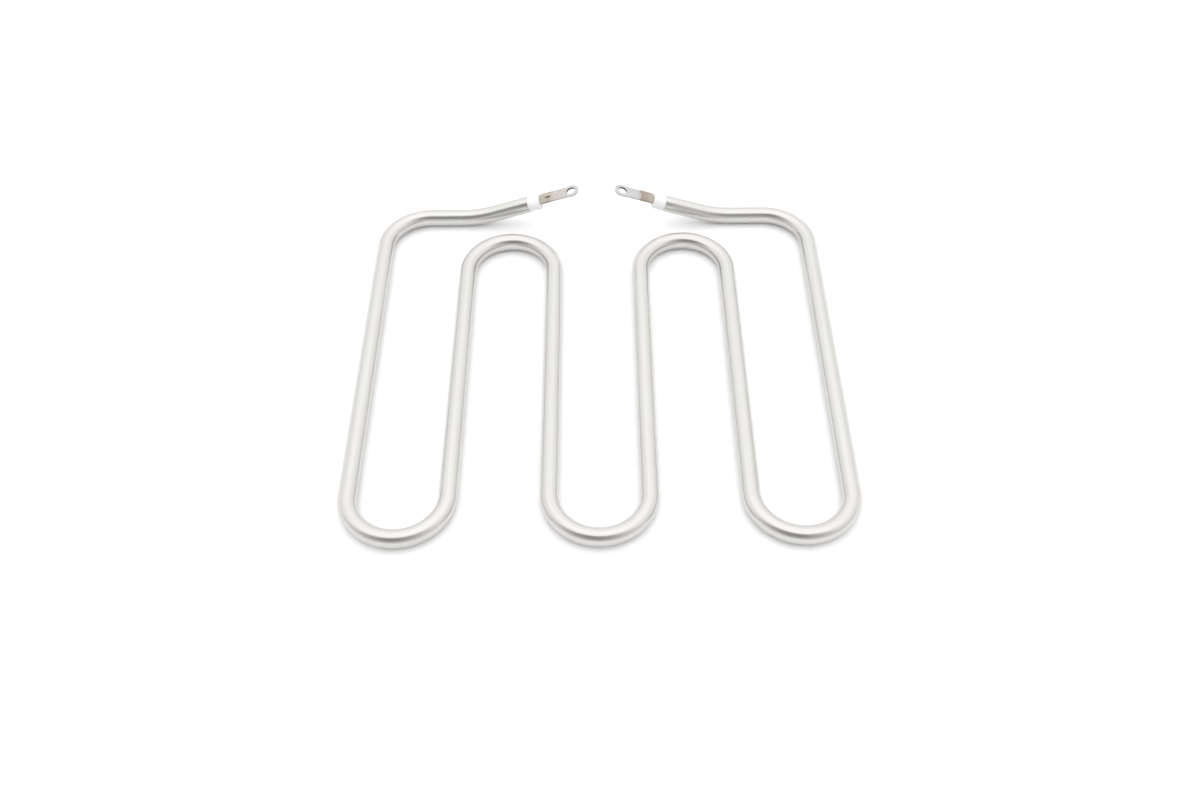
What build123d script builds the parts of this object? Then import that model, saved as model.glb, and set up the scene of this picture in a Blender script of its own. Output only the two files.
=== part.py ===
from build123d import *
import os
from math import cos, radians, sin

# A tubular heating element: a steel tube bent into a flat serpentine that lies on the XY plane, with both
# ends brought in over the back and rising a little to their terminals. Millimetres and degrees.
# X runs across the legs, Y along them towards the terminals, Z up. The origin is under the middle.

# Tube and serpentine
tube_diameter = 8.0
sheath_wall = 0.7
leg_count = 6  # an even number, so that both ends come out at the back
leg_pitch = 41.4  # between the centre lines of neighbouring legs
inner_leg_length = 132.2  # straight part of a leg between a front and a back bend
back_run_pitch = 18.3  # between the centre lines of the back bends and of the back runs

# Rising ends
terminal_gap = 17.2  # between the tips of the two terminals
rise_angle = 18.3
rise_bend_radius = 50.0
sheath_end_length = 18.7  # straight sheath beyond the rising bend

# Terminal pins, and the coil between them
pin_diameter = 2.5
pin_inner_length = 40.0  # along the centre line, inside the sheath
pin_reach = 9.3  # beyond the bush's outer face
pin_weld_flat = 0.7  # depth of the flat on the pin's top, where the tab is welded on
pin_taper_length = 6.0  # squeezed end of the pin under the tab
pin_tip_thickness = 0.2
coil_diameter = 2.6  # over the turns
coil_sides = 8  # the fine turns are stood in for by a bar with this many sides

# End seals and ceramic bushes
seal_length = 3.0
bush_head_length = 6.0
bush_head_diameter = 7.6
bush_spigot_length = 5.0
bush_edge = 0.4  # chamfer round the bush's outer face
bush_clearance = 0.05  # round the spigot in the tube, and round the pin in the bush

# Terminal tabs
tab_length = 20.0
tab_gap = 0.3  # between the bush and the end of the tab
tab_width = 7.0
tab_thickness = 1.0
tab_corner = 0.6
eye_diameter = 7.8
eye_hole_diameter = 4.3  # clears an M4 screw
eye_blend_radius = 4.0  # where the strip widens into the eye
weld_mark_length = 2.4
weld_mark_width = 1.0
weld_mark_depth = 0.25
weld_mark_distance = 4.0  # from the inner end of the tab to the middle of the mark

# Worked out from the sizes above. Distances along a rising end start where its bend stops.
tube_radius = tube_diameter / 2
bore_radius = tube_radius - sheath_wall
pin_radius = pin_diameter / 2
bend_radius = leg_pitch / 2
outer_leg_x = leg_pitch * (leg_count - 1) / 2
back_run_reach = inner_leg_length + bend_radius + back_run_pitch  # from the front bends' centres
front_bend_y = (bend_radius - back_run_reach) / 2  # puts the middle of the outline at Y 0
back_bend_y = front_bend_y + inner_leg_length
back_run_y = front_bend_y + back_run_reach
bush_face = sheath_end_length + bush_head_length
tab_start = bush_face + tab_gap
tip = tab_start + tab_length
pin_tip = bush_face + pin_reach
seal_end = sheath_end_length - bush_spigot_length
seal_start = seal_end - seal_length
tab_underside = pin_radius - pin_weld_flat
rise_end_x = terminal_gap / 2 + tip * cos(radians(rise_angle))
rise_end_z = tube_radius + rise_bend_radius * (1 - cos(radians(rise_angle)))
rise_start_x = rise_end_x + rise_bend_radius * sin(radians(rise_angle))
sides = {"left": -1, "right": 1}


def end_point(side, distance):
    """Point on the centre line of a rising end."""
    x = side * (rise_end_x - distance * cos(radians(rise_angle)))
    return Vector(x, back_run_y, rise_end_z + distance * sin(radians(rise_angle)))


def end_direction(side):
    """Outward direction of a rising end."""
    return Vector(-side * cos(radians(rise_angle)), 0, sin(radians(rise_angle)))


def cross_plane(side, distance):
    """Plane square to a rising end, with Z out along it."""
    return Plane(end_point(side, distance), x_dir=(0, -side, 0), z_dir=end_direction(side))


def side_plane(side):
    """Upright plane through a rising end, with X as the distance along it."""
    return Plane(end_point(side, 0), x_dir=end_direction(side), z_dir=(0, side, 0))


def tab_plane(side):
    """Plane of a tab's underside, with its origin at the inner end of the tab and X out along it."""
    upright = side_plane(side)
    return Plane(
        upright.from_local_coords(Vector(tab_start, tab_underside)),
        x_dir=upright.x_dir,
        z_dir=upright.y_dir,
    )


def along_floor(x, y):
    """Point at the height of the tube's centre where the tube lies flat."""
    return (x, y, tube_radius)


# Centre line, from the tip of the left pin, round the serpentine, to the tip of the right pin
with BuildLine() as centre:
    Line(end_point(-1, pin_tip), end_point(-1, 0))
    left_run = Line(along_floor(-rise_start_x, back_run_y), along_floor(bend_radius - outer_leg_x, back_run_y))
    TangentArc(left_run @ 0, end_point(-1, 0), tangent=(1, 0, 0))
    bend = JernArc(left_run @ 1, (-1, 0), bend_radius, 90)
    for index in range(leg_count):
        heads_front = index % 2 == 0
        last_leg = index == leg_count - 1
        leg_end_y = front_bend_y if heads_front else back_bend_y
        if last_leg:
            leg_end_y = back_run_y - bend_radius
        leg = Line(bend @ 1, along_floor(index * leg_pitch - outer_leg_x, leg_end_y))
        turn = 180 if heads_front else -180
        bend = JernArc(leg @ 1, leg % 1, bend_radius, 90 if last_leg else turn)
    right_run = Line(bend @ 1, along_floor(rise_start_x, back_run_y))
    TangentArc(right_run @ 1, end_point(1, 0), tangent=(-1, 0, 0))
    Line(end_point(1, 0), end_point(1, pin_tip))
centre_line = centre.wire()
centre_length = centre_line.length


def stretch(start, end):
    """Part of the centre line between two distances from the tip of the left pin."""
    return centre_line.trim(start / centre_length, end / centre_length)


def start_plane(path):
    """Plane square to the start of a path that starts on a back run or on a rising end."""
    return Plane(path @ 0, x_dir=(0, 1, 0), z_dir=path % 0)


pin_length = pin_tip - sheath_end_length + pin_inner_length
sheath_path = stretch(pin_tip - sheath_end_length, centre_length - pin_tip + sheath_end_length)
filling_path = stretch(pin_tip - seal_start, centre_length - pin_tip + seal_start)
coil_path = stretch(pin_length, centre_length - pin_length)
pin_paths = {"left": stretch(0, pin_length), "right": stretch(centre_length - pin_length, centre_length)}

# Sheath: one round tube swept along the whole serpentine
with BuildPart() as sheath_tube:
    with BuildSketch(start_plane(sheath_path)):
        Circle(tube_radius)
        Circle(bore_radius, mode=Mode.SUBTRACT)
    sweep(path=sheath_path)
sheath_tube.part.label = "sheath_tube"

# Resistance coil: a bar of the coil's size over its turns, from one pin's inner end to the other's
with BuildPart() as resistance_coil:
    with BuildSketch(start_plane(coil_path)):
        RegularPolygon(coil_diameter / 2, coil_sides)
    sweep(path=coil_path)
resistance_coil.part.label = "resistance_coil"

# Magnesia filling: pressed hard against the sheath, the coil and the pins
with BuildPart() as magnesia_filling:
    with BuildSketch(start_plane(filling_path)):
        Circle(bore_radius)
    sweep(path=filling_path)
    with BuildSketch(start_plane(coil_path)):
        RegularPolygon(coil_diameter / 2, coil_sides)
    sweep(path=coil_path, mode=Mode.SUBTRACT)
    for pin_path in pin_paths.values():
        with BuildSketch(start_plane(pin_path)):
            Circle(pin_radius)
        sweep(path=pin_path, mode=Mode.SUBTRACT)
magnesia_filling.part.label = "magnesia_filling"

pieces = [sheath_tube.part, resistance_coil.part, magnesia_filling.part]

for name, side in sides.items():
    # Terminal pin: round, with a flat on top for the tab and an end that the weld has squeezed thin
    with BuildPart() as terminal_pin:
        with BuildSketch(start_plane(pin_paths[name])):
            Circle(pin_radius)
        sweep(path=pin_paths[name])
        with BuildSketch(side_plane(side)):
            with Locations((tab_start, tab_underside)):
                Rectangle(tip, pin_diameter, align=(Align.MIN, Align.MIN))
            with BuildLine():
                Polyline(
                    (pin_tip - pin_taper_length, -pin_radius),
                    (pin_tip, tab_underside - pin_tip_thickness),
                    (pin_tip + pin_taper_length, -pin_diameter),
                    (pin_tip - pin_taper_length, -pin_diameter),
                    close=True,
                )
            make_face()
        extrude(amount=pin_diameter, both=True, mode=Mode.SUBTRACT)
    terminal_pin.part.label = f"terminal_pin_{name}"

    # End seal: a ring cast between the pin and the sheath
    with BuildPart() as end_seal:
        with BuildSketch(cross_plane(side, seal_start)):
            Circle(bore_radius)
            Circle(pin_radius, mode=Mode.SUBTRACT)
        extrude(amount=seal_length)
    end_seal.part.label = f"end_seal_{name}"

    # Ceramic bush: a head that butts on the tube's end and a spigot inside it, bored for the pin
    bush_bore = pin_radius + bush_clearance
    bush_spigot = bore_radius - bush_clearance
    bush_head = bush_head_diameter / 2
    with BuildPart() as ceramic_bush:
        with BuildSketch(side_plane(side)):
            with BuildLine():
                Polyline(
                    (seal_end, bush_bore),
                    (seal_end, bush_spigot),
                    (sheath_end_length, bush_spigot),
                    (sheath_end_length, bush_head),
                    (bush_face - bush_edge, bush_head),
                    (bush_face, bush_head - bush_edge),
                    (bush_face, bush_bore),
                    close=True,
                )
            make_face()
        revolve(axis=Axis(end_point(side, 0), end_direction(side)))
    ceramic_bush.part.label = f"ceramic_bush_{name}"

    # Terminal tab: a stamped strip that widens into a round eye, with the weld's dent in its top
    eye_centre = tab_length - eye_diameter / 2
    with BuildPart() as terminal_tab:
        with BuildSketch(tab_plane(side)) as outline:
            Rectangle(eye_centre, tab_width, align=(Align.MIN, Align.CENTER))
            with Locations((eye_centre, 0)):
                Circle(eye_diameter / 2)
            inner_corners, eye_joints = outline.vertices().group_by(Axis.X)[:2]
            fillet(eye_joints, eye_blend_radius)
            fillet(inner_corners, tab_corner)
            with Locations((eye_centre, 0)):
                Circle(eye_hole_diameter / 2, mode=Mode.SUBTRACT)
        extrude(amount=tab_thickness)
        with BuildSketch(tab_plane(side).offset(tab_thickness)):
            with Locations((weld_mark_distance, 0)):
                SlotOverall(weld_mark_length, weld_mark_width)
        extrude(amount=-weld_mark_depth, mode=Mode.SUBTRACT)
    terminal_tab.part.label = f"terminal_tab_{name}"

    pieces += [terminal_pin.part, end_seal.part, ceramic_bush.part, terminal_tab.part]

os.makedirs("parts", exist_ok=True)
for piece in pieces:
    export_step(piece, f"parts/{piece.label}.step")
    print(piece.label, len(piece.solids()), round(piece.volume, 2))
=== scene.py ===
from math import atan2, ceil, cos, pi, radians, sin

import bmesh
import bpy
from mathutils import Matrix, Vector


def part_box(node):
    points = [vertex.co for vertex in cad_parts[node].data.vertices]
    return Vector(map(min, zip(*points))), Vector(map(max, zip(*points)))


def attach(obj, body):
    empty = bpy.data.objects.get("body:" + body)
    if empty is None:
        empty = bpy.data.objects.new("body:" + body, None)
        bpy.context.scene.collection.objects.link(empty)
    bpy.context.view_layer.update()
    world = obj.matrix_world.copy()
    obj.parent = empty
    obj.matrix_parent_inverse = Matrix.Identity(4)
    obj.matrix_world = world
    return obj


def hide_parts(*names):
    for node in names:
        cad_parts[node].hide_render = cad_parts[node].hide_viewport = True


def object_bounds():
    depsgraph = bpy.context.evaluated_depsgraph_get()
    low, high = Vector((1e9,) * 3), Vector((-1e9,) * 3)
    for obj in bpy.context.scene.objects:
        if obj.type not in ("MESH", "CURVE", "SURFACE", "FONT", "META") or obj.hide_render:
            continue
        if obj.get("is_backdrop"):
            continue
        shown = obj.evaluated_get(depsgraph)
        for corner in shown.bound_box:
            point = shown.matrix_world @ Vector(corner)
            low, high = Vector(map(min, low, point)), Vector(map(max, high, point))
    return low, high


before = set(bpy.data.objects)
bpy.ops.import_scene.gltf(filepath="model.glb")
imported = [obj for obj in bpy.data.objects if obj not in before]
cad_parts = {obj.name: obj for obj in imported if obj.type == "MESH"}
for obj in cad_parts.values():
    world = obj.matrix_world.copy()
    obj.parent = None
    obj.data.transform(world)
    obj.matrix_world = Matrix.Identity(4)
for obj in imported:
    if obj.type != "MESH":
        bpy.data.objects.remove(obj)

# %% [markdown]
# # A tubular heating element
#
# This object warms air or melts frost in a refrigerator. It is one long stainless tube, bent into a flat
# serpentine, with a wound wire packed in white powder inside. Each end of the tube is stopped with a ceramic
# bush, and a flat tab with an eye for a screw is welded on the pin that comes out of it.
#
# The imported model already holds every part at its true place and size. This script dresses it: it makes
# finer shapes that stand in for the visible parts, gives each part its material, and sets up the light and
# the camera. Lengths are in metres, so millimetres are multiplied by `MM`. The place of the legs is read
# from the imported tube's box, and only what the box can't tell is written as a number.

MM = 0.001
UP = Vector((0, 0, 1))
ACROSS = Vector((0, 1, 0))
cad_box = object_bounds()
tube_low, tube_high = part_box("sheath_tube")
tube_radius = 4 * MM
sheath_wall = 0.7 * MM
leg_count = 6
inner_leg_length = 132.2 * MM
leg_pitch = (tube_high.x - tube_low.x - 2 * tube_radius) / (leg_count - 1)
bend_radius = leg_pitch / 2
outer_leg_x = leg_pitch * (leg_count - 1) / 2
front_bend_y = tube_low.y + tube_radius + bend_radius
back_run_y = tube_high.y - tube_radius
print("leg pitch, mm:", round(leg_pitch / MM, 2), "back runs at Y, mm:", round(back_run_y / MM, 2))

# %% [markdown]
# The two ends of the tube rise towards each other at a small angle. Each piece on an end has a distance from
# the point where the rising bend stops, and a height above the centre line. `end_place` turns the two into a
# matrix: its Z runs out along the end, its Y is square to the tab, and its X is level.

# %% Rising ends
rise_angle = radians(18.3)
rise_bend_radius = 50 * MM
terminal_gap = 17.2 * MM
sheath_end = 18.7 * MM
bush_face = sheath_end + 6 * MM
tab_start = bush_face + 0.3 * MM
tab_length = 20 * MM
tab_tip = tab_start + tab_length
rise_end_x = terminal_gap / 2 + tab_tip * cos(rise_angle)
rise_end_z = tube_radius + rise_bend_radius * (1 - cos(rise_angle))
rise_start_x = rise_end_x + rise_bend_radius * sin(rise_angle)
SIDES = {"left": -1, "right": 1}
TURN_BACK = Matrix.Rotation(pi, 4, "X")


def end_place(side, distance, height=0):
    """Matrix of a point on a rising end, with Z out along the end and Y square to its tab."""
    outward = Vector((-side * cos(rise_angle), 0, sin(rise_angle)))
    level = Vector((0, -side, 0))
    square = outward.cross(level)
    matrix = Matrix((level, square, outward)).transposed().to_4x4()
    base = Vector((side * rise_end_x, back_run_y, rise_end_z))
    matrix.translation = base + outward * distance + square * height
    return matrix


for name, side in SIDES.items():
    mouth = end_place(side, sheath_end).translation
    print(name, "mouth of the tube, mm:", [round(c / MM, 1) for c in mouth])

# %% [markdown]
# A bending machine feeds a straight tube forward and swings it round a former, again and again. `Bender`
# works in the same way on a ring of edges: `feed` extrudes the ring ahead, and `bend` spins it.
#
# The marks on a drawn tube are older than its bends. So each vertex keeps, in a layer called `blank`, the
# place that it had on the straight tube, and the steel's pattern is drawn on those coordinates. A second
# layer, `strain`, is 1 where the tube was bent and 0 where it wasn't, because bending dulls the skin.

# %% Bender for round bar and tube
RING_SEGMENTS = 64
BEND_STEP = radians(4)
FEED_STEP = 7 * MM


class Bender:
    """A ring of edges that grows into a bent tube."""

    def __init__(self, radius, place, segments=RING_SEGMENTS):
        self.bm = bmesh.new()
        self.blank = self.bm.verts.layers.float_vector.new("blank")
        self.strain = self.bm.verts.layers.float.new("strain")
        self.point = place.translation.copy()
        self.heading = (place.to_3x3() @ UP).normalized()
        verts = bmesh.ops.create_circle(self.bm, radius=radius, segments=segments)["verts"]
        for vert in verts:
            vert[self.blank] = vert.co
        bmesh.ops.transform(self.bm, matrix=place, verts=verts)
        self.ring = list(self.bm.edges)

    def _advance(self, geometry, length, strain):
        """Takes new geometry as the ring, and notes where it was on the straight tube."""
        verts = {g for g in geometry if isinstance(g, bmesh.types.BMVert)}
        edges = [g for g in geometry if isinstance(g, bmesh.types.BMEdge)]
        self.ring = [e for e in edges if verts.issuperset(e.verts)]
        for vert in verts:
            vert[self.blank] = vert[self.blank] + UP * length
            vert[self.strain] = strain
        return list(verts)

    def feed(self, length):
        """Pushes the tube straight ahead."""
        steps = max(1, round(length / FEED_STEP))
        for _ in range(steps):
            grown = bmesh.ops.extrude_edge_only(self.bm, edges=self.ring)["geom"]
            verts = self._advance(grown, length / steps, 0)
            bmesh.ops.translate(self.bm, verts=verts, vec=self.heading * length / steps)
        self.point += self.heading * length

    def bend(self, radius, axis, angle):
        """Swings the tube round an axis, to the left of its heading where the angle is positive."""
        steps = ceil(abs(angle) / BEND_STEP)
        side = 1 if angle > 0 else -1
        centre = self.point + axis.cross(self.heading) * radius * side
        for _ in range(steps):
            spun = bmesh.ops.spin(
                self.bm, geom=self.ring, cent=centre, axis=axis, dvec=(0, 0, 0), angle=angle / steps,
                steps=1, use_merge=False, use_normal_flip=False, use_duplicate=False,
            )
            self._advance(spun["geom_last"], radius * abs(angle) / steps, 1)
        turn = Matrix.Rotation(angle, 3, axis)
        self.point = centre + turn @ (self.point - centre)
        self.heading = turn @ self.heading


print("segments round a tube:", RING_SEGMENTS)

# %% [markdown]
# Every piece ends in the same way: doubled vertices are merged, the faces are turned outwards and shaded
# smoothly, and the mesh becomes an object. Its place is in its mesh, so the object itself stays at the
# origin. No cut or stamped edge is really sharp either, so one helper bevels all the edges that turn by more
# than an angle. `bmesh.ops.bevel` has other defaults than the editor, so each setting that matters is given.

# %% Finishing a piece
MERGE_DISTANCE = 1e-7


def finish_mesh(bm, name):
    """Closes up a bmesh and makes it a smooth piece that rides on the object's one body."""
    bmesh.ops.remove_doubles(bm, verts=bm.verts, dist=MERGE_DISTANCE)
    bmesh.ops.recalc_face_normals(bm, faces=bm.faces)
    for face in bm.faces:
        face.smooth = True
    mesh = bpy.data.meshes.new(name)
    bm.to_mesh(mesh)
    bm.free()
    piece = bpy.data.objects.new(name, mesh)
    bpy.context.scene.collection.objects.link(piece)
    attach(piece, "root")
    print(name, "faces:", len(mesh.polygons))
    return piece


def soften(bm, width, sharper_than):
    """Bevels every edge that turns by more than an angle, and prints how many there were."""
    bm.normal_update()
    sharp = [e for e in bm.edges if len(e.link_faces) == 2 and e.calc_face_angle() > sharper_than]
    bmesh.ops.bevel(
        bm, geom=sharp, offset=width, offset_type="OFFSET", segments=3, profile=0.5,
        affect="EDGES", material=-1,
    )
    print("edges rounded:", len(sharp))


# %% [markdown]
# The sheath could be a curve with a round bevel, but a curve has no wall, no clean mouth and no record of
# the straight tube. So the bender runs the real tube's whole programme: down the left end, round five U
# bends, and up the right end. `solidify` then gives the skin its wall, and the sharp edges at both mouths
# are rounded, as they are when a cut tube is deburred.

# %% Sheath
lip_width = 0.12 * MM
lip_angle = radians(60)
back_run_length = outer_leg_x - bend_radius - rise_start_x
outer_leg_length = back_run_y - bend_radius - front_bend_y

bender = Bender(tube_radius, end_place(-1, sheath_end) @ TURN_BACK)
bender.feed(sheath_end)
bender.bend(rise_bend_radius, ACROSS, rise_angle)
bender.feed(back_run_length)
bender.bend(bend_radius, UP, pi / 2)
for leg in range(leg_count):
    is_outer = leg in (0, leg_count - 1)
    bender.feed(outer_leg_length if is_outer else inner_leg_length)
    if leg < leg_count - 1:
        bender.bend(bend_radius, UP, pi if leg % 2 == 0 else -pi)
bender.bend(bend_radius, UP, pi / 2)
bender.feed(back_run_length)
bender.bend(rise_bend_radius, ACROSS, rise_angle)
bender.feed(sheath_end)
miss = bender.point - end_place(1, sheath_end).translation
print("the tube misses its right mouth by, mm:", round(miss.length / MM, 4))

bm = bender.bm
bmesh.ops.recalc_face_normals(bm, faces=bm.faces)
bmesh.ops.solidify(bm, geom=list(bm.faces), thickness=sheath_wall)
soften(bm, lip_width, lip_angle)
sheath = finish_mesh(bm, "sheath")
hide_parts("sheath_tube")

# %% [markdown]
# Each ceramic bush is a turned shape: a head nearly as wide as the tube, a spigot that sits inside the tube,
# and a hole for the pin. Half of its section is drawn as a few points and spun once round. Pressed and fired
# ceramic has no knife edges, so its edges are rounded. Larger faces keep flat shading by weighting the
# normals with their area.

# %% Ceramic bushes
bush_radius = 3.8 * MM
bush_hole = 1.3 * MM
spigot_clearance = 0.05 * MM
spigot_radius = tube_radius - sheath_wall - spigot_clearance
spigot_length = 5 * MM
bush_edge = 0.4 * MM
bush_rounding = 0.15 * MM
bush_corner_angle = radians(25)
BUSH_STEPS = 96


def weight_normals(piece):
    """Lets flat faces stay flat beside small roundings."""
    modifier = piece.modifiers.new("flat faces", "WEIGHTED_NORMAL")
    modifier.weight = 100


bushes = {}
for name, side in SIDES.items():
    section = [
        (bush_hole, sheath_end - spigot_length),
        (spigot_radius, sheath_end - spigot_length),
        (spigot_radius, sheath_end),
        (bush_radius, sheath_end),
        (bush_radius, bush_face - bush_edge),
        (bush_radius - bush_edge, bush_face),
        (bush_hole, bush_face),
    ]
    bm = bmesh.new()
    verts = [bm.verts.new((radius, 0, distance)) for radius, distance in section]
    edges = [bm.edges.new((a, b)) for a, b in zip(verts, verts[1:] + verts[:1])]
    bmesh.ops.spin(
        bm, geom=verts + edges, cent=(0, 0, 0), axis=UP, dvec=(0, 0, 0), angle=2 * pi,
        steps=BUSH_STEPS, use_merge=True, use_normal_flip=False, use_duplicate=False,
    )
    bmesh.ops.remove_doubles(bm, verts=bm.verts, dist=MERGE_DISTANCE)
    bmesh.ops.recalc_face_normals(bm, faces=bm.faces)
    bmesh.ops.transform(bm, matrix=end_place(side, 0), verts=bm.verts)
    soften(bm, bush_rounding, bush_corner_angle)
    bushes[name] = finish_mesh(bm, f"bush_{name}")
    weight_normals(bushes[name])
    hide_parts(f"ceramic_bush_{name}")

# %% [markdown]
# The pin is round wire that runs from deep inside the tube to under the tab. The welding electrodes press
# its hot end, so it spreads sideways and thins out to almost nothing. The bender draws the wire, with close
# rings outside the bush, and these are then pressed by a smooth share that grows towards the tip.

# %% Terminal pins
pin_radius = 1.25 * MM
weld_flat = 0.7 * MM
pin_seat = pin_radius - weld_flat
pin_tip = bush_face + 9.3 * MM
pin_inside = 40 * MM
close_rings_start = bush_face - 1 * MM
squeeze_length = 6 * MM
flat_run_in = 0.6 * MM
squeeze_thinning = 0.93
squeeze_spread = 0.28
PIN_SEGMENTS = 40
PIN_RINGS = 24


def smooth_share(value, low, high):
    """0 below low, 1 above high, and an even S between them."""
    share = min(max((value - low) / (high - low), 0), 1)
    return share * share * (3 - 2 * share)


def squeeze(bm, side):
    """Presses the end of a pin against the underside of its tab."""
    place = end_place(side, 0)
    inverse = place.inverted()
    for vert in bm.verts:
        spot = inverse @ vert.co
        if spot.z < close_rings_start or abs(spot.x) > 2 * pin_radius:
            continue
        seated = smooth_share(spot.z, bush_face, bush_face + flat_run_in)
        pressed = smooth_share(spot.z, pin_tip - squeeze_length, pin_tip)
        top = pin_radius + (pin_seat - pin_radius) * seated
        below_top = (top - min(spot.y, top)) * (1 - squeeze_thinning * pressed)
        vert.co = place @ Vector((spot.x * (1 + squeeze_spread * pressed), top - below_top, spot.z))


pins = {}
for name, side in SIDES.items():
    bender = Bender(pin_radius, end_place(side, pin_tip) @ TURN_BACK, PIN_SEGMENTS)
    bmesh.ops.contextual_create(bender.bm, geom=bender.ring)
    for _ in range(PIN_RINGS):
        bender.feed((pin_tip - close_rings_start) / PIN_RINGS)
    bender.feed(close_rings_start)
    bender.bend(rise_bend_radius, ACROSS, -side * rise_angle)
    bender.feed(pin_inside - sheath_end - rise_bend_radius * rise_angle)
    bmesh.ops.contextual_create(bender.bm, geom=bender.ring)
    squeeze(bender.bm, side)
    pins[name] = finish_mesh(bender.bm, f"pin_{name}")
    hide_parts(f"terminal_pin_{name}")

# %% [markdown]
# The tab is stamped from strip: straight sides that widen a little into a round eye with a screw hole. Its
# outline is worked out from arcs that touch each other.

# %% Outline of a tab
tab_width = 7 * MM
eye_radius = 3.9 * MM
hole_radius = 2.15 * MM
blend_radius = 4 * MM
corner_radius = 0.6 * MM
eye_x = tab_length - eye_radius
ARC_STEP = radians(6)


def arc(centre_x, centre_y, radius, start, end):
    """Points on an arc between two angles, with both of its ends."""
    count = max(2, ceil(abs(end - start) / ARC_STEP))
    angles = [start + (end - start) * i / count for i in range(count + 1)]
    return [(centre_x + radius * cos(a), centre_y + radius * sin(a)) for a in angles]


def tab_outline():
    """Upper half of the outline, from the inner corner to the tip of the eye, and its mirror image."""
    half = tab_width / 2
    blend_y = half + blend_radius
    blend_x = eye_x - ((eye_radius + blend_radius) ** 2 - blend_y**2) ** 0.5
    meet = atan2(blend_y, eye_x - blend_x)
    upper = arc(corner_radius, half - corner_radius, corner_radius, pi, pi / 2)
    upper += arc(blend_x, blend_y, blend_radius, -pi / 2, -meet)
    upper += arc(eye_x, 0, eye_radius, pi - meet, 0)[1:]
    return upper + [(x, -y) for x, y in reversed(upper[:-1])]


print("points round a tab:", len(tab_outline()))

# %% [markdown]
# The outline and its hole are filled with `triangle_fill`, extruded to the strip's thickness and rounded at
# the edges, as tumbling leaves a stamped part. The welding electrode leaves a dent near the inner end. A
# dent needs points to bend, so planes cut the metal there into a fine net, and the net's top is pressed
# down. Like the tube, the tab keeps its flat coordinates in a `blank` layer.

# %% Terminal tabs
tab_thickness = 1 * MM
tab_rounding = 0.13 * MM
dent_distance = 4 * MM
dent_length = 3.2 * MM
dent_width = 1.7 * MM
dent_depth = 0.38 * MM
net_step = 0.2 * MM
NET_ALONG = 10
NET_ACROSS = 6
tab_corner_angle = radians(50)
STRIP_AXES = Matrix(((0, 1, 0), (0, 0, 1), (1, 0, 0)))


def loop_of(bm, points):
    """A closed loop of edges through the points."""
    verts = [bm.verts.new((x, y, 0)) for x, y in points]
    return [bm.edges.new((a, b)) for a, b in zip(verts, verts[1:] + verts[:1])]


def cut_net(bm, axis, centre, reach):
    """Cuts the metal near the dent by planes square to an axis, as many on each side of a centre."""
    beyond = (NET_ALONG + 2) * net_step
    for index in range(-reach, reach + 1):
        near = [f for f in bm.faces if abs(f.calc_center_median().x - dent_distance) < beyond]
        parts = {v for f in near for v in f.verts} | {e for f in near for e in f.edges} | set(near)
        spot = Vector((centre, 0, 0)) + axis * index * net_step
        bmesh.ops.bisect_plane(bm, geom=list(parts), dist=MERGE_DISTANCE, plane_co=spot, plane_no=axis)


def dent_at(x, y):
    """Depth of the dent at a point of the strip: an ellipse with soft sides."""
    reach = (2 * (x - dent_distance) / dent_length) ** 2 + (2 * y / dent_width) ** 2
    return dent_depth * smooth_share(1 - reach, 0, 1)


tabs = {}
for name, side in SIDES.items():
    bm = bmesh.new()
    rim = loop_of(bm, tab_outline())
    hole = loop_of(bm, arc(eye_x, 0, hole_radius, 0, 2 * pi)[:-1])
    bmesh.ops.triangle_fill(bm, edges=rim + hole, use_beauty=True, use_dissolve=False)
    grown = bmesh.ops.extrude_face_region(bm, geom=list(bm.faces))["geom"]
    risen = [g for g in grown if isinstance(g, bmesh.types.BMVert)]
    bmesh.ops.translate(bm, verts=risen, vec=UP * tab_thickness)
    bmesh.ops.recalc_face_normals(bm, faces=bm.faces)
    soften(bm, tab_rounding, tab_corner_angle)
    cut_net(bm, Vector((1, 0, 0)), dent_distance, NET_ALONG)
    cut_net(bm, Vector((0, 1, 0)), 0, NET_ACROSS)
    blank = bm.verts.layers.float_vector.new("blank")
    for vert in bm.verts:
        vert[blank] = vert.co
        if vert.co.z > 0.9 * tab_thickness:
            vert.co.z -= dent_at(vert.co.x, vert.co.y)
    place = end_place(side, tab_start, pin_seat) @ STRIP_AXES.to_4x4()
    bmesh.ops.transform(bm, matrix=place, verts=bm.verts)
    tabs[name] = finish_mesh(bm, f"tab_{name}")
    weight_normals(tabs[name])
    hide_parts(f"terminal_tab_{name}")

# %% [markdown]
# The materials are built from nodes, because a drawn pattern keeps its true size however close the camera
# comes. A few helpers keep that short: `add` makes a node, `wire` links an output to an input by its name,
# `maths` calculates, and `new_surface` starts a material.

# %% Nodes and links
def socket_of(node, name):
    """The input that a node shows under a name. A mixing node has one of each name for each kind of data."""
    return next(s for s in node.inputs if s.enabled and s.name.lower() == name.lower())


def add(tree, kind, **settings):
    """Adds a node. A setting is an attribute of the node, or else the name of one of its inputs."""
    node = tree.nodes.new(kind)
    for key, value in settings.items():
        if hasattr(node, key):
            setattr(node, key, value)
        else:
            socket_of(node, key.replace("_", " ")).default_value = value
    return node


def wire(tree, source, node, name):
    tree.links.new(source, socket_of(node, name))


def maths(tree, operation, *values):
    """A calculation on numbers and outputs of other nodes."""
    node = add(tree, "ShaderNodeMath", operation=operation)
    for socket, value in zip(node.inputs, values):
        if isinstance(value, (int, float)):
            socket.default_value = value
        else:
            tree.links.new(value, socket)
    return node.outputs[0]


def new_surface(name, metallic):
    """A material with a Principled shader, and the tree to build its pattern in."""
    material = bpy.data.materials.new(name)
    material.use_nodes = True
    tree = material.node_tree
    shader = tree.nodes["Principled BSDF"]
    shader.inputs["Metallic"].default_value = metallic
    print("material:", name)
    return material, tree, shader


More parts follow.
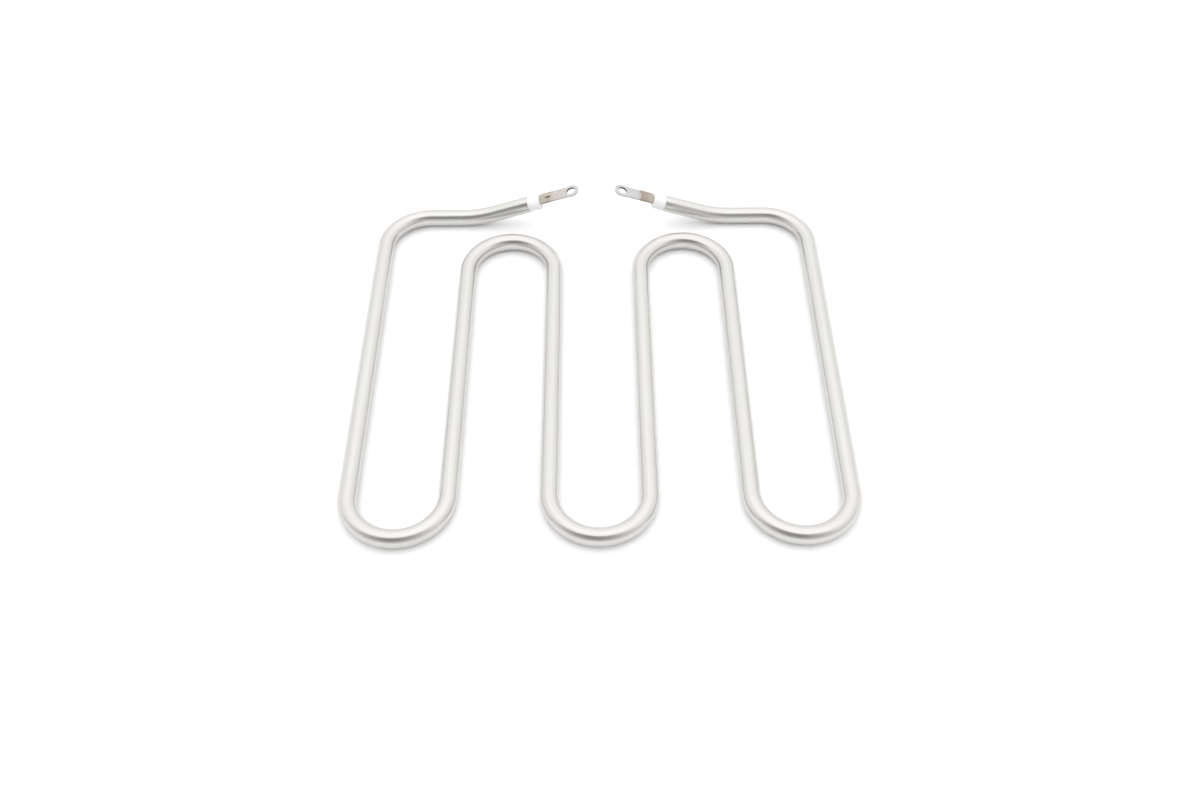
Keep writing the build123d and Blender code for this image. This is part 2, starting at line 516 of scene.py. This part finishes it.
# %% [markdown]
# Four patterns come back in every finish: a smooth step, a mixture of two colours, noise with a grain of a
# real size, and relief of a real depth. Noise seldom leaves 0.3 to 0.7, so a step over that span spreads it
# from none to all. A pattern is drawn either on the object's own coordinates or on the `blank` layer, so it
# stays on the metal when the camera moves.

# %% Patterns that the finishes share
def fade(tree, value, low, high, at_low=0.0, at_high=1.0):
    """A smooth step from one number to another, as the value goes from low to high."""
    node = add(tree, "ShaderNodeMapRange", interpolation_type="SMOOTHSTEP")
    numbers = {"From Min": low, "From Max": high, "To Min": at_low, "To Max": at_high}
    for name, number in numbers.items():
        node.inputs[name].default_value = number
    tree.links.new(value, node.inputs["Value"])
    return node.outputs["Result"]


def mix_colours(tree, factor, first, second):
    node = add(tree, "ShaderNodeMix", data_type="RGBA")
    wire(tree, factor, node, "Factor")
    for name, colour in (("A", first), ("B", second)):
        if isinstance(colour, tuple):
            socket_of(node, name).default_value = (*colour, 1)
        else:
            wire(tree, colour, node, name)
    return node.outputs["Result"]


def noise(tree, place, size, detail=2.0):
    """Noise whose grains have a size in millimetres along X, Y and Z."""
    stretch = add(tree, "ShaderNodeMapping", Scale=[1 / (MM * s) for s in size])
    wire(tree, place, stretch, "Vector")
    node = add(tree, "ShaderNodeTexNoise", Scale=1, Detail=detail)
    wire(tree, stretch.outputs[0], node, "Vector")
    return node.outputs["Fac"]


def emboss(tree, shader, height, depth_mm, under=None):
    """Adds relief of a depth in millimetres, on top of an earlier relief."""
    node = add(tree, "ShaderNodeBump", Distance=depth_mm * MM, Strength=1)
    wire(tree, height, node, "Height")
    if under:
        wire(tree, under, node, "Normal")
    wire(tree, node.outputs[0], shader, "Normal")
    return node.outputs[0]


def blank_place(tree):
    return add(tree, "ShaderNodeAttribute", attribute_name="blank").outputs["Vector"]


def object_place(tree):
    return add(tree, "ShaderNodeTexCoord").outputs["Object"]


# %% [markdown]
# The sheath is bright-annealed stainless steel. Its colour drifts between a greenish and a pinkish grey over
# a few centimetres, and leans to pink where it was bent. Drawing through a die leaves very fine lines along
# the tube, so their noise is stretched a hundred times along the blank's length. Bends are a little rougher,
# like the skin of an orange.

# %% Steel of the sheath
greenish_steel = (0.68, 0.68, 0.652)
pinkish_steel = (0.697, 0.671, 0.658)
line_steel = (0.56, 0.55, 0.53)
cloud_grain = (30, 30, 24)
fine_line_grain = (0.3, 0.3, 40)
wide_line_grain = (1.1, 1.1, 70)
skin_grain = (0.35, 0.35, 0.35)
line_depth_mm = 0.006
skin_depth_mm = 0.008
steel_roughness = 0.17, 0.26

steel, tree, shader = new_surface("drawn_steel", metallic=1.0)
place = blank_place(tree)
strain = add(tree, "ShaderNodeAttribute", attribute_name="strain").outputs["Fac"]
cloud = fade(tree, noise(tree, place, cloud_grain, 3), 0.35, 0.65, 0, 0.65)
pinkness = maths(tree, "MULTIPLY_ADD", strain, 0.35, cloud)
metal = mix_colours(tree, pinkness, greenish_steel, pinkish_steel)
fine_lines = noise(tree, place, fine_line_grain, 3)
wide_lines = noise(tree, place, wide_line_grain, 2)
line_share = fade(tree, wide_lines, 0.35, 0.7, 0, 0.16)
wire(tree, mix_colours(tree, line_share, metal, line_steel), shader, "Base Color")
wire(tree, fade(tree, fine_lines, 0.3, 0.7, *steel_roughness), shader, "Roughness")
lines = emboss(tree, shader, fine_lines, line_depth_mm)
skin = maths(tree, "MULTIPLY", noise(tree, place, skin_grain, 2), strain)
emboss(tree, shader, skin, skin_depth_mm, lines)
sheath.data.materials.append(steel)

# %% [markdown]
# The bushes are unglazed alumina, almost white. Pressing leaves a fine grain, and handling leaves faint
# cream patches. The end seals are cast silicone and the filling is pressed powder, so both are much the same
# recipe with another colour and grain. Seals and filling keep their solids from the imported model, which are
# the right shape already, and only get a material.

# %% Ceramic, silicone and powder
patch_grain = (2.5, 2.5, 2.5)
roughness_spread = 0.06


def mineral(name, colour, patch, grain_mm, grain_depth_mm, roughness):
    """A dull, pale finish with patches of a second colour and a fine grain."""
    material, tree, shader = new_surface(name, metallic=0.0)
    place = object_place(tree)
    patches = fade(tree, noise(tree, place, patch_grain, 3), 0.45, 0.75)
    grain = noise(tree, place, (grain_mm, grain_mm, grain_mm), 3)
    wire(tree, mix_colours(tree, patches, colour, patch), shader, "Base Color")
    smoother, rougher = roughness - roughness_spread, roughness + roughness_spread
    wire(tree, fade(tree, grain, 0.3, 0.7, smoother, rougher), shader, "Roughness")
    emboss(tree, shader, grain, grain_depth_mm)
    return material


alumina = mineral(
    "alumina", colour=(0.965, 0.965, 0.96), patch=(0.94, 0.93, 0.91),
    grain_mm=0.18, grain_depth_mm=0.012, roughness=0.5,
)
silicone = mineral(
    "cast_silicone", colour=(0.74, 0.71, 0.66), patch=(0.68, 0.64, 0.58),
    grain_mm=0.5, grain_depth_mm=0.02, roughness=0.42,
)
powder = mineral(
    "pressed_powder", colour=(0.87, 0.86, 0.83), patch=(0.82, 0.81, 0.77),
    grain_mm=0.1, grain_depth_mm=0.03, roughness=0.85,
)
bpy.data.objects["magnesia_filling"].material_slots[0].material = powder
for name in SIDES:
    bushes[name].data.materials.append(alumina)
    bpy.data.objects[f"end_seal_{name}"].material_slots[0].material = silicone

# %% [markdown]
# The wire inside is a tight coil of resistance alloy with a dark oxide skin. Its solid is a plain bar of the
# coil's size, so the turns are drawn by waves of relief, and the oxide by a mottled colour.

# %% Resistance wire
bare_alloy = (0.4, 0.39, 0.38)
dark_oxide = (0.27, 0.25, 0.24)
mottle_grain = (1.2, 1.2, 1.2)
turns_scale = 900
turn_depth_mm = 0.05
oxide_roughness = 0.42, 0.58

oxide, tree, shader = new_surface("oxidised_wire", metallic=1.0)
place = object_place(tree)
mottle = fade(tree, noise(tree, place, mottle_grain, 3), 0.35, 0.65)
wire(tree, mix_colours(tree, mottle, bare_alloy, dark_oxide), shader, "Base Color")
wire(tree, fade(tree, mottle, 0, 1, *oxide_roughness), shader, "Roughness")
turns = add(tree, "ShaderNodeTexWave", wave_type="BANDS", bands_direction="DIAGONAL", Scale=turns_scale)
wire(tree, place, turns, "Vector")
emboss(tree, shader, turns.outputs["Fac"], turn_depth_mm)
bpy.data.objects["resistance_coil"].material_slots[0].material = oxide

# %% [markdown]
# The tabs and pins are nickel-plated steel, and the weld's heat stains the plate. Along the strip the stain
# is a colour ramp over the `blank` layer, whose borders waver with noise. Round spots of stain, painted shade
# and a painted highlight are ellipses drawn on the same layer. Both could be painted by hand on an unwrapped
# picture, but drawn by numbers they keep their real size.

# %% Stains along a strip, and round spots
stain_grain = (2, 2, 2)
stain_waver = 1.2 * MM


def stain_colour(tree, place, along, length, stops):
    """Colour by the distance along one axis of the blank. Each stop is a distance and a colour."""
    parts = add(tree, "ShaderNodeSeparateXYZ")
    tree.links.new(place, parts.inputs[0])
    waver = maths(tree, "MULTIPLY_ADD", noise(tree, place, stain_grain, 3), 2 * stain_waver, -stain_waver)
    ramp = add(tree, "ShaderNodeValToRGB")
    ramp.color_ramp.interpolation = "EASE"
    marks = ramp.color_ramp.elements
    while len(marks) < len(stops):
        marks.new(1)
    for mark, (distance, colour) in zip(marks, stops):
        mark.position = distance / length
        mark.color = (*colour, 1)
    reach = maths(tree, "DIVIDE", maths(tree, "ADD", parts.outputs[along], waver), length)
    tree.links.new(reach, ramp.inputs[0])
    return ramp.outputs[0]


def spot_share(tree, place, centre, radii, inner, outer):
    """1 inside an ellipse drawn on the blank and 0 outside it. The border goes from inner to outer radii."""
    shift = add(tree, "ShaderNodeVectorMath", operation="SUBTRACT")
    tree.links.new(place, shift.inputs[0])
    shift.inputs[1].default_value = (*centre, 0)
    shrink = add(tree, "ShaderNodeVectorMath", operation="MULTIPLY")
    tree.links.new(shift.outputs[0], shrink.inputs[0])
    shrink.inputs[1].default_value = (1 / radii[0], 1 / radii[1], 0)
    size = add(tree, "ShaderNodeVectorMath", operation="LENGTH")
    tree.links.new(shrink.outputs[0], size.inputs[0])
    return fade(tree, size.outputs["Value"], inner, outer, 1, 0)


# %% [markdown]
# Rolling leaves fine grain along the strip, and fingers leave dull smudges. The stain is brown at the weld,
# straw and then pink further out. The two terminals took different heat: the right one got hotter, and its
# stain stops sharply. Three spots are laid over it. The wall of the punched hole is painted nearly black, as
# painted shade. The dent of the left weld is a brown weld stain darkened further as painted shade, with a
# pale painted highlight on one side of it. A stain's stops are at distances from the tab's inner end, or
# from the tip of the pin.

# %% Nickel plate
nickel = (0.6, 0.6, 0.6)
pink = (0.6, 0.565, 0.54)
dull_nickel = (0.47, 0.46, 0.45)
smudge_grain = (3, 3, 3)
rolled_grain = (8, 0.25, 0.25)
drawn_grain = (0.3, 0.3, 8)
plate_depth_mm = 0.004
plate_roughness = 0.24, 0.36
most_smudge = 0.18


def plated(name, along, length, stops, grain, spots=()):
    """Nickel plate with a stain along one axis of the blank, and spots that hold stains, painted shade and
    painted highlights.
    """
    material, tree, shader = new_surface(name, metallic=1.0)
    place = blank_place(tree)
    stain = stain_colour(tree, place, along, length, stops)
    smudge = fade(tree, noise(tree, place, smudge_grain, 2), 0.4, 0.7, 0, most_smudge)
    metal = mix_colours(tree, smudge, stain, dull_nickel)
    for colour, *shape in spots:
        metal = mix_colours(tree, spot_share(tree, place, *shape), metal, colour)
    wire(tree, metal, shader, "Base Color")
    lines = noise(tree, place, grain, 3)
    wire(tree, fade(tree, lines, 0.3, 0.7, *plate_roughness), shader, "Roughness")
    emboss(tree, shader, lines, plate_depth_mm)
    return material


pin_stain = [(0, (0.37, 0.31, 0.24)), (6 * MM, (0.44, 0.39, 0.32)), (11 * MM, nickel)]
tab_stains = {
    "left": [
        (0, (0.5, 0.48, 0.4)), (3 * MM, (0.46, 0.43, 0.355)), (4.8 * MM, (0.42, 0.375, 0.31)),
        (6.6 * MM, (0.56, 0.52, 0.48)), (8 * MM, pink), (13 * MM, pink), (15 * MM, nickel),
    ],
    "right": [
        (0, (0.5, 0.46, 0.39)), (1.8 * MM, (0.45, 0.405, 0.335)), (3.6 * MM, (0.39, 0.33, 0.27)),
        (6.4 * MM, (0.37, 0.3, 0.24)), (7.2 * MM, (0.53, 0.51, 0.49)), (8 * MM, nickel),
    ],
}
# Painted shade: the wall of the hole is coloured nearly black, where it would look dark.
painted_hole_shade = ((0.12, 0.115, 0.11), (eye_x, 0), (hole_radius, hole_radius), 1.02, 1.07)
# Painted highlight: a pale spot on one side of the dent, where its rim would catch the light.
painted_dent_highlight = ((0.6, 0.53, 0.47), (dent_distance, 1.7 * MM), (2.6 * MM, 1 * MM), 0.4, 1.1)
# Weld stain and painted shade: the dent's middle is darkened further, as its hollow would look.
scorch_and_painted_dent_shade = ((0.19, 0.165, 0.12), (dent_distance, 0), (2.1 * MM, 1.2 * MM), 0.4, 1.0)
tab_spots = {"left": [painted_hole_shade, painted_dent_highlight, scorch_and_painted_dent_shade], "right": [painted_hole_shade]}

wire_plate = plated("plated_wire", 2, 14 * MM, pin_stain, drawn_grain)
for name in SIDES:
    strip_plate = plated(
        f"plated_strip_{name}", 0, tab_length, tab_stains[name], rolled_grain, tab_spots[name]
    )
    tabs[name].data.materials.append(strip_plate)
    pins[name].data.materials.append(wire_plate)

# %% [markdown]
# The element lies on a sheet of white paper, a flat grid that is marked as stage because it isn't part of
# the object. A matt floor takes the soft shadow that shows where the tube touches it. Paper that is bright
# enough to vanish into a white backdrop would throw too much light up at the metal, so a Light Path node
# tells three uses apart: what the paper gives to matt things, what metal mirrors, and what the camera sees.

# %% Paper floor
paper_colour = (0.9, 0.9, 0.905)
paper_mirrored = (0.93, 0.93, 0.93)
paper_seen = (1.03, 1.03, 1.04)
paper_half_size = 3

bm = bmesh.new()
bmesh.ops.create_grid(bm, x_segments=1, y_segments=1, size=paper_half_size)
mesh = bpy.data.meshes.new("floor")
bm.to_mesh(mesh)
bm.free()
floor = bpy.data.objects.new("floor", mesh)
bpy.context.scene.collection.objects.link(floor)
floor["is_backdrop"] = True


def new_tree(owner):
    """An empty node tree for a material or a world."""
    owner.use_nodes = True
    owner.node_tree.nodes.clear()
    return owner.node_tree


paper = bpy.data.materials.new("white_paper")
tree = new_tree(paper)
rays = add(tree, "ShaderNodeLightPath").outputs
mirrored = maths(tree, "MAXIMUM", rays["Is Glossy Ray"], rays["Is Transmission Ray"])
tone = mix_colours(tree, mirrored, paper_colour, paper_mirrored)
tone = mix_colours(tree, rays["Is Camera Ray"], tone, paper_seen)
diffuse = add(tree, "ShaderNodeBsdfDiffuse")
wire(tree, tone, diffuse, "Color")
wire(tree, diffuse.outputs[0], add(tree, "ShaderNodeOutputMaterial"), "Surface")
floor.data.materials.append(paper)
print("paper, m across:", 2 * paper_half_size)

# %% [markdown]
# A shiny thing shows the room that it lies in, so a product studio puts it in a tent of white cloth with a
# softbox over it. The metal then mirrors a smooth white, with one dark band where the tent is open in front.
# Lamps on a black world would give hard streaks instead. The world itself is that tent, worked out from the
# direction of each ray: plain at the sides, brighter a little behind the zenith, and dimmer in a low skirt
# round the front.

# %% Cloth of the light tent
side_light = 1.0
top_light = 0.43
top_lean = radians(8)
top_gather = 2.0
skirt_shade = 0.2
skirt_height = radians(22), radians(8)
skirt_ends = 0.35, -0.2
matt_side_light = 0.7
matt_top_light = 1.1

world = bpy.data.worlds.new("light_tent")
bpy.context.scene.world = world
tree = new_tree(world)
direction = add(tree, "ShaderNodeSeparateXYZ")
tree.links.new(add(tree, "ShaderNodeTexCoord").outputs["Generated"], direction.inputs[0])
x, y, z = direction.outputs
rays = add(tree, "ShaderNodeLightPath").outputs
matt = rays["Is Diffuse Ray"]

from_sides = maths(tree, "MULTIPLY_ADD", matt, matt_side_light - side_light, side_light)
from_top = maths(tree, "MULTIPLY_ADD", matt, matt_top_light - top_light, top_light)
towards_top = maths(tree, "MULTIPLY_ADD", y, sin(top_lean), maths(tree, "MULTIPLY", z, cos(top_lean)))
top_share = maths(tree, "POWER", maths(tree, "MAXIMUM", towards_top, 0.0), top_gather)
cloth = maths(tree, "MULTIPLY_ADD", top_share, from_top, from_sides)

level = maths(tree, "SQRT", maths(tree, "MULTIPLY_ADD", x, x, maths(tree, "MULTIPLY", y, y)))
level = maths(tree, "MAXIMUM", level, 0.001)
behind = maths(tree, "DIVIDE", y, level)
in_skirt = fade(tree, z, *map(sin, skirt_height), 0, skirt_shade)
skirt = maths(tree, "MULTIPLY", fade(tree, behind, *skirt_ends), in_skirt)
cloth = maths(tree, "SUBTRACT", cloth, skirt)

# %% [markdown]
# The opening is an arch in the front of the tent, turned a little to the left. It is darkest in its middle
# and fades towards the sides and the edges, as cloth held open does. Only shiny things see it: matt things
# get the light of a closed tent with more of it from above, which keeps the ceramic white and the shadows
# close under the tube. The camera sees a plain white backdrop of strength 1.

# %% Opening of the light tent
opening_light = 0.33
opening_fall = 1.2
opening_turn = radians(13)
opening_bottom = radians(5), radians(30)
opening_top = radians(59), radians(70)
arch_fall = 0.4

to_front = maths(tree, "MULTIPLY_ADD", x, -sin(opening_turn), maths(tree, "MULTIPLY", y, -cos(opening_turn)))
to_front = maths(tree, "DIVIDE", maths(tree, "MAXIMUM", to_front, 0.0), level)
over_bottom = fade(tree, z, *map(sin, opening_bottom))
off_front = maths(tree, "ADD", behind, 1.0)
arch = maths(tree, "MULTIPLY_ADD", maths(tree, "MULTIPLY", off_front, off_front), arch_fall, z)
under_top = fade(tree, arch, *map(sin, opening_top), 1, 0)
opening = maths(tree, "MULTIPLY", over_bottom, under_top)
opening = maths(tree, "MULTIPLY", maths(tree, "POWER", to_front, opening_fall), opening)
shiny = maths(tree, "SUBTRACT", 1.0, matt)

tent = add(tree, "ShaderNodeMix", data_type="FLOAT", B=opening_light)
wire(tree, maths(tree, "MULTIPLY", opening, shiny), tent, "Factor")
wire(tree, cloth, tent, "A")
backdrop = add(tree, "ShaderNodeMix", data_type="FLOAT", B=1.0)
wire(tree, rays["Is Camera Ray"], backdrop, "Factor")
wire(tree, tent.outputs["Result"], backdrop, "A")
shine = add(tree, "ShaderNodeBackground", Color=(1, 1, 1, 1))
wire(tree, backdrop.outputs["Result"], shine, "Strength")
wire(tree, shine.outputs[0], add(tree, "ShaderNodeOutputWorld"), "Surface")
print("nodes in the light tent:", len(tree.nodes))

# %% [markdown]
# The camera stands in front of the tent and looks down at about 50 degrees, with a lens that gives a quiet
# perspective. It leans by a fraction of a degree, as a camera held over a table does.

# %% Camera
camera_place = Vector((-0.45, -362.3, 406.76)) * MM
look_down = radians(50.008)
camera_yaw = radians(-0.175)
camera_roll = radians(-0.389)
lens_length = 36

camera = bpy.data.objects.new("camera", bpy.data.cameras.new("camera"))
camera.data.lens = lens_length
camera.data.sensor_width = 36
camera.data.clip_start = 0.01
bpy.context.scene.collection.objects.link(camera)
turn = Matrix.Rotation(camera_yaw, 4, "Z") @ Matrix.Rotation(pi / 2 - look_down, 4, "X")
camera.matrix_world = Matrix.Translation(camera_place) @ turn @ Matrix.Rotation(camera_roll, 4, "Z")
bpy.context.scene.camera = camera
bpy.context.scene.view_settings.view_transform = "Standard"
print("camera at, mm:", [round(c / MM) for c in camera_place])

# %% [markdown]
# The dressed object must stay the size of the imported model. Both boxes are written down to be compared.

# %% Sizes, and the end
boxes = {"cad": cad_box, "visual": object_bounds()}
for key, (low, high) in boxes.items():
    print(key, "box, mm:", [round((b - a) / MM, 2) for a, b in zip(low, high)])
